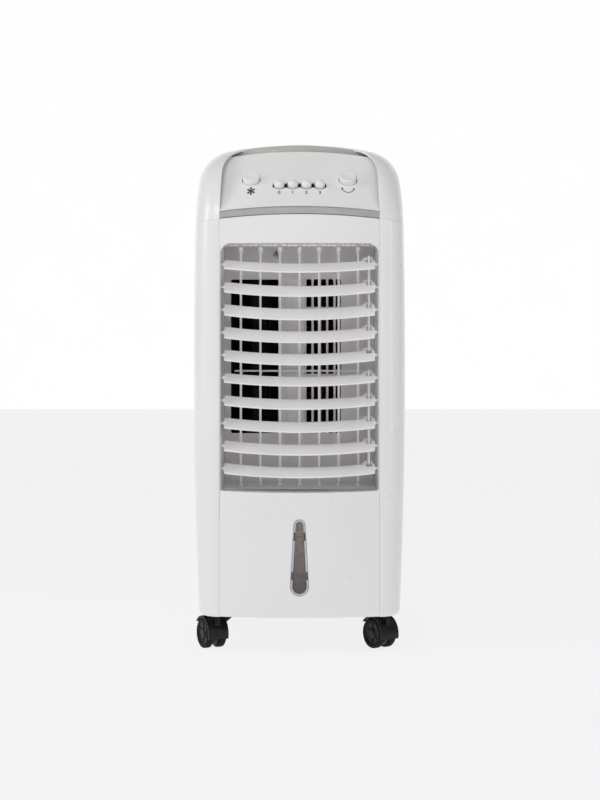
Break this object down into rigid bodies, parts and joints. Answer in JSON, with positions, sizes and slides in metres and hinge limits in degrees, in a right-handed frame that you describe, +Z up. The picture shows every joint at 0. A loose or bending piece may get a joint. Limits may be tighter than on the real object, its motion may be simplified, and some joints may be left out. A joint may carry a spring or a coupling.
{
  "type": "evaporative cooler",
  "caption": "Upright evaporative air cooler on casters with tilting louvers, swinging vanes, push buttons, a rear water tank and a water-level window.",
  "frame": {"origin": "on the floor under the middle of the body", "axes": "+Z up, front towards -Y, +X to the right seen from the front"},
  "size_m": [0.2704, 0.3, 0.65],
  "materials": {
    "shell": "white glossy moulded plastic, slightly warm",
    "louver": "white satin moulded plastic",
    "fascia": "pale grey-white fine matte plastic",
    "strip": "grey-green satin insert strip",
    "duct": "pale grey moulded plastic inside the air outlet",
    "inner": "mid grey structural plastic",
    "fan": "black plastic",
    "window": "smoky clear acrylic",
    "caster": "black satin nylon",
    "pad": "corrugated cellulose honeycomb pad",
    "filter": "dark woven dust mesh",
    "hose": "translucent off-white silicone tube",
    "steel": "zinc-plated steel"
  },
  "bodies": {
    "body": {"base_pan": "inner", "front_panel": "shell", "left_pillar": "shell", "right_pillar": "shell", "rear_housing": "shell", "top_cover": "shell", "control_fascia": "fascia", "trim_strip": "strip", "air_duct": "duct", "fan_scroll": "fan", "fan_motor": "steel", "duct_screw": "steel", "swing_motor": "steel", "water_window": "window", "pump": "fan", "pump_hose": "hose", "water_distributor": "inner", "cooling_pad": "pad", "switch_bank": "fan", "cord_gland": "caster"},
    "fan_impeller": {"fan_impeller": "fan"},
    "swing_crank": {"swing_crank": "louver"},
    "water_tank": {"water_tank": "shell"},
    "intake_frame": {"intake_grille": "shell", "dust_filter": "filter"},
    "louver_1": {"louver_1": "louver"},
    "louver_2": {"louver_2": "louver"},
    "louver_3": {"louver_3": "louver"},
    "louver_4": {"louver_4": "louver"},
    "louver_5": {"louver_5": "louver"},
    "louver_link_upper": {"louver_link_upper": "louver"},
    "louver_6": {"louver_6": "louver"},
    "louver_7": {"louver_7": "louver"},
    "louver_8": {"louver_8": "louver"},
    "louver_9": {"louver_9": "louver"},
    "louver_10": {"louver_10": "louver"},
    "louver_link_lower": {"louver_link_lower": "louver"},
    "vane_1": {"vane_1": "louver"},
    "vane_2": {"vane_2": "louver"},
    "vane_3": {"vane_3": "louver"},
    "vane_4": {"vane_4": "louver"},
    "vane_5": {"vane_5": "louver"},
    "vane_6": {"vane_6": "louver"},
    "vane_7": {"vane_7": "louver"},
    "vane_link": {"vane_link": "louver"},
    "button_cool": {"button_cool": "louver"},
    "button_swing": {"button_swing": "louver"},
    "key_0": {"key_0": "louver"},
    "key_1": {"key_1": "louver"},
    "key_2": {"key_2": "louver"},
    "key_3": {"key_3": "louver"},
    "caster_front_left_hood": {"caster_front_left_hood": "caster"},
    "caster_front_left_wheels": {"caster_front_left_wheels": "caster"},
    "caster_front_right_hood": {"caster_front_right_hood": "caster"},
    "caster_front_right_wheels": {"caster_front_right_wheels": "caster"},
    "caster_rear_left_hood": {"caster_rear_left_hood": "caster"},
    "caster_rear_left_wheels": {"caster_rear_left_wheels": "caster"},
    "caster_rear_right_hood": {"caster_rear_right_hood": "caster"},
    "caster_rear_right_wheels": {"caster_rear_right_wheels": "caster"}
  },
  "joints": [
    {"name": "louver_1_tilt", "type": "hinge", "parent": "body", "child": "louver_1", "pos_m": [0, -0.128, 0.4885], "axis": [1, 0, 0], "range_deg": [-41, 23]},
    {"name": "louver_2_tilt", "type": "hinge", "parent": "body", "child": "louver_2", "pos_m": [0, -0.128, 0.4599], "axis": [1, 0, 0], "range_deg": [-41, 23]},
    {"name": "louver_3_tilt", "type": "hinge", "parent": "body", "child": "louver_3", "pos_m": [0, -0.128, 0.4313], "axis": [1, 0, 0], "range_deg": [-41, 23]},
    {"name": "louver_4_tilt", "type": "hinge", "parent": "body", "child": "louver_4", "pos_m": [0, -0.128, 0.4027], "axis": [1, 0, 0], "range_deg": [-41, 23]},
    {"name": "louver_5_tilt", "type": "hinge", "parent": "body", "child": "louver_5", "pos_m": [0, -0.128, 0.3741], "axis": [1, 0, 0], "range_deg": [-41, 23]},
    {"name": "louver_link_upper_pivot", "type": "hinge", "parent": "louver_1", "child": "louver_link_upper", "pos_m": [0.0879, -0.11849, 0.49677], "axis": [1, 0, 0], "range_deg": [-23, 41]},
    {"name": "louver_6_tilt", "type": "hinge", "parent": "body", "child": "louver_6", "pos_m": [0, -0.128, 0.3455], "axis": [1, 0, 0], "range_deg": [-35, 29]},
    {"name": "louver_7_tilt", "type": "hinge", "parent": "body", "child": "louver_7", "pos_m": [0, -0.128, 0.3169], "axis": [1, 0, 0], "range_deg": [-35, 29]},
    {"name": "louver_8_tilt", "type": "hinge", "parent": "body", "child": "louver_8", "pos_m": [0, -0.128, 0.2883], "axis": [1, 0, 0], "range_deg": [-35, 29]},
    {"name": "louver_9_tilt", "type": "hinge", "parent": "body", "child": "louver_9", "pos_m": [0, -0.128, 0.2597], "axis": [1, 0, 0], "range_deg": [-35, 29]},
    {"name": "louver_10_tilt", "type": "hinge", "parent": "body", "child": "louver_10", "pos_m": [0, -0.128, 0.2311], "axis": [1, 0, 0], "range_deg": [-35, 29]},
    {"name": "louver_link_lower_pivot", "type": "hinge", "parent": "louver_6", "child": "louver_link_lower", "pos_m": [0.0879, -0.11768, 0.35273], "axis": [1, 0, 0], "range_deg": [-29, 35]},
    {"name": "vane_1_swing", "type": "hinge", "parent": "body", "child": "vane_1", "pos_m": [-0.075, -0.09, 0.361], "axis": [0, 0, 1], "range_deg": [-30, 30]},
    {"name": "vane_2_swing", "type": "hinge", "parent": "body", "child": "vane_2", "pos_m": [-0.05, -0.09, 0.361], "axis": [0, 0, 1], "range_deg": [-30, 30]},
    {"name": "vane_3_swing", "type": "hinge", "parent": "body", "child": "vane_3", "pos_m": [-0.025, -0.09, 0.361], "axis": [0, 0, 1], "range_deg": [-30, 30]},
    {"name": "vane_4_swing", "type": "hinge", "parent": "body", "child": "vane_4", "pos_m": [0, -0.09, 0.361], "axis": [0, 0, 1], "range_deg": [-30, 30]},
    {"name": "vane_5_swing", "type": "hinge", "parent": "body", "child": "vane_5", "pos_m": [0.025, -0.09, 0.361], "axis": [0, 0, 1], "range_deg": [-30, 30]},
    {"name": "vane_6_swing", "type": "hinge", "parent": "body", "child": "vane_6", "pos_m": [0.05, -0.09, 0.361], "axis": [0, 0, 1], "range_deg": [-30, 30]},
    {"name": "vane_7_swing", "type": "hinge", "parent": "body", "child": "vane_7", "pos_m": [0.075, -0.09, 0.361], "axis": [0, 0, 1], "range_deg": [-30, 30]},
    {"name": "vane_link_pivot", "type": "hinge", "parent": "vane_1", "child": "vane_link", "pos_m": [-0.075, -0.073, 0.3536], "axis": [0, 0, 1], "range_deg": [-30, 30]},
    {"name": "swing_crank_turn", "type": "hinge", "parent": "body", "child": "swing_crank", "pos_m": [0.014, -0.09, 0.19], "axis": [0, 0, 1], "continuous": true},
    {"name": "fan_spin", "type": "hinge", "parent": "body", "child": "fan_impeller", "pos_m": [-0.032, 0, 0.372], "axis": [0, 0, 1], "continuous": true},
    {"name": "button_cool_press", "type": "slide", "parent": "body", "child": "button_cool", "axis": [0, 0.6695, -0.7428], "range_m": [0, 0.004], "stiffness_N_per_m": 350},
    {"name": "button_swing_press", "type": "slide", "parent": "body", "child": "button_swing", "axis": [0, 0.6695, -0.7428], "range_m": [0, 0.004], "stiffness_N_per_m": 350},
    {"name": "key_0_press", "type": "slide", "parent": "body", "child": "key_0", "axis": [0, 0.6695, -0.7428], "range_m": [0, 0.0035], "stiffness_N_per_m": 300},
    {"name": "key_1_press", "type": "slide", "parent": "body", "child": "key_1", "axis": [0, 0.6695, -0.7428], "range_m": [0, 0.0035], "stiffness_N_per_m": 300},
    {"name": "key_2_press", "type": "slide", "parent": "body", "child": "key_2", "axis": [0, 0.6695, -0.7428], "range_m": [0, 0.0035], "stiffness_N_per_m": 300},
    {"name": "key_3_press", "type": "slide", "parent": "body", "child": "key_3", "axis": [0, 0.6695, -0.7428], "range_m": [0, 0.0035], "stiffness_N_per_m": 300},
    {"name": "water_tank_pull", "type": "slide", "parent": "body", "child": "water_tank", "axis": [0, 1, 0], "range_m": [0, 0.15]},
    {"name": "intake_frame_pull", "type": "slide", "parent": "body", "child": "intake_frame", "axis": [0, 1, 0], "range_m": [0, 0.06]},
    {"name": "caster_front_left_swivel", "type": "hinge", "parent": "body", "child": "caster_front_left_hood", "pos_m": [-0.108, -0.106, 0.045], "axis": [0, 0, 1], "continuous": true},
    {"name": "caster_front_left_roll", "type": "hinge", "parent": "caster_front_left_hood", "child": "caster_front_left_wheels", "pos_m": [-0.11254, -0.09709, 0.019], "axis": [0.891, 0.454, 0], "continuous": true},
    {"name": "caster_front_right_swivel", "type": "hinge", "parent": "body", "child": "caster_front_right_hood", "pos_m": [0.108, -0.106, 0.045], "axis": [0, 0, 1], "continuous": true},
    {"name": "caster_front_right_roll", "type": "hinge", "parent": "caster_front_right_hood", "child": "caster_front_right_wheels", "pos_m": [0.10226, -0.09781, 0.019], "axis": [0.8192, 0.5736, 0], "continuous": true},
    {"name": "caster_rear_left_swivel", "type": "hinge", "parent": "body", "child": "caster_rear_left_hood", "pos_m": [-0.1, 0.108, 0.045], "axis": [0, 0, 1], "continuous": true},
    {"name": "caster_rear_left_roll", "type": "hinge", "parent": "caster_rear_left_hood", "child": "caster_rear_left_wheels", "pos_m": [-0.1099, 0.10939, 0.019], "axis": [0.1392, 0.9903, 0], "continuous": true},
    {"name": "caster_rear_right_swivel", "type": "hinge", "parent": "body", "child": "caster_rear_right_hood", "pos_m": [0.1, 0.108, 0.045], "axis": [0, 0, 1], "continuous": true},
    {"name": "caster_rear_right_roll", "type": "hinge", "parent": "caster_rear_right_hood", "child": "caster_rear_right_wheels", "pos_m": [0.1097, 0.11042, 0.019], "axis": [0.2419, -0.9703, 0], "continuous": true}
  ],
  "couplings": [
    {"joint": "louver_2_tilt", "follows": "louver_1_tilt", "ratio": 1},
    {"joint": "louver_3_tilt", "follows": "louver_1_tilt", "ratio": 1},
    {"joint": "louver_4_tilt", "follows": "louver_1_tilt", "ratio": 1},
    {"joint": "louver_5_tilt", "follows": "louver_1_tilt", "ratio": 1},
    {"joint": "louver_link_upper_pivot", "follows": "louver_1_tilt", "ratio": -1},
    {"joint": "louver_7_tilt", "follows": "louver_6_tilt", "ratio": 1},
    {"joint": "louver_8_tilt", "follows": "louver_6_tilt", "ratio": 1},
    {"joint": "louver_9_tilt", "follows": "louver_6_tilt", "ratio": 1},
    {"joint": "louver_10_tilt", "follows": "louver_6_tilt", "ratio": 1},
    {"joint": "louver_link_lower_pivot", "follows": "louver_6_tilt", "ratio": -1},
    {"joint": "vane_2_swing", "follows": "vane_1_swing", "ratio": 1},
    {"joint": "vane_3_swing", "follows": "vane_1_swing", "ratio": 1},
    {"joint": "vane_4_swing", "follows": "vane_1_swing", "ratio": 1},
    {"joint": "vane_5_swing", "follows": "vane_1_swing", "ratio": 1},
    {"joint": "vane_6_swing", "follows": "vane_1_swing", "ratio": 1},
    {"joint": "vane_7_swing", "follows": "vane_1_swing", "ratio": 1},
    {"joint": "vane_link_pivot", "follows": "vane_1_swing", "ratio": -1}
  ]
}
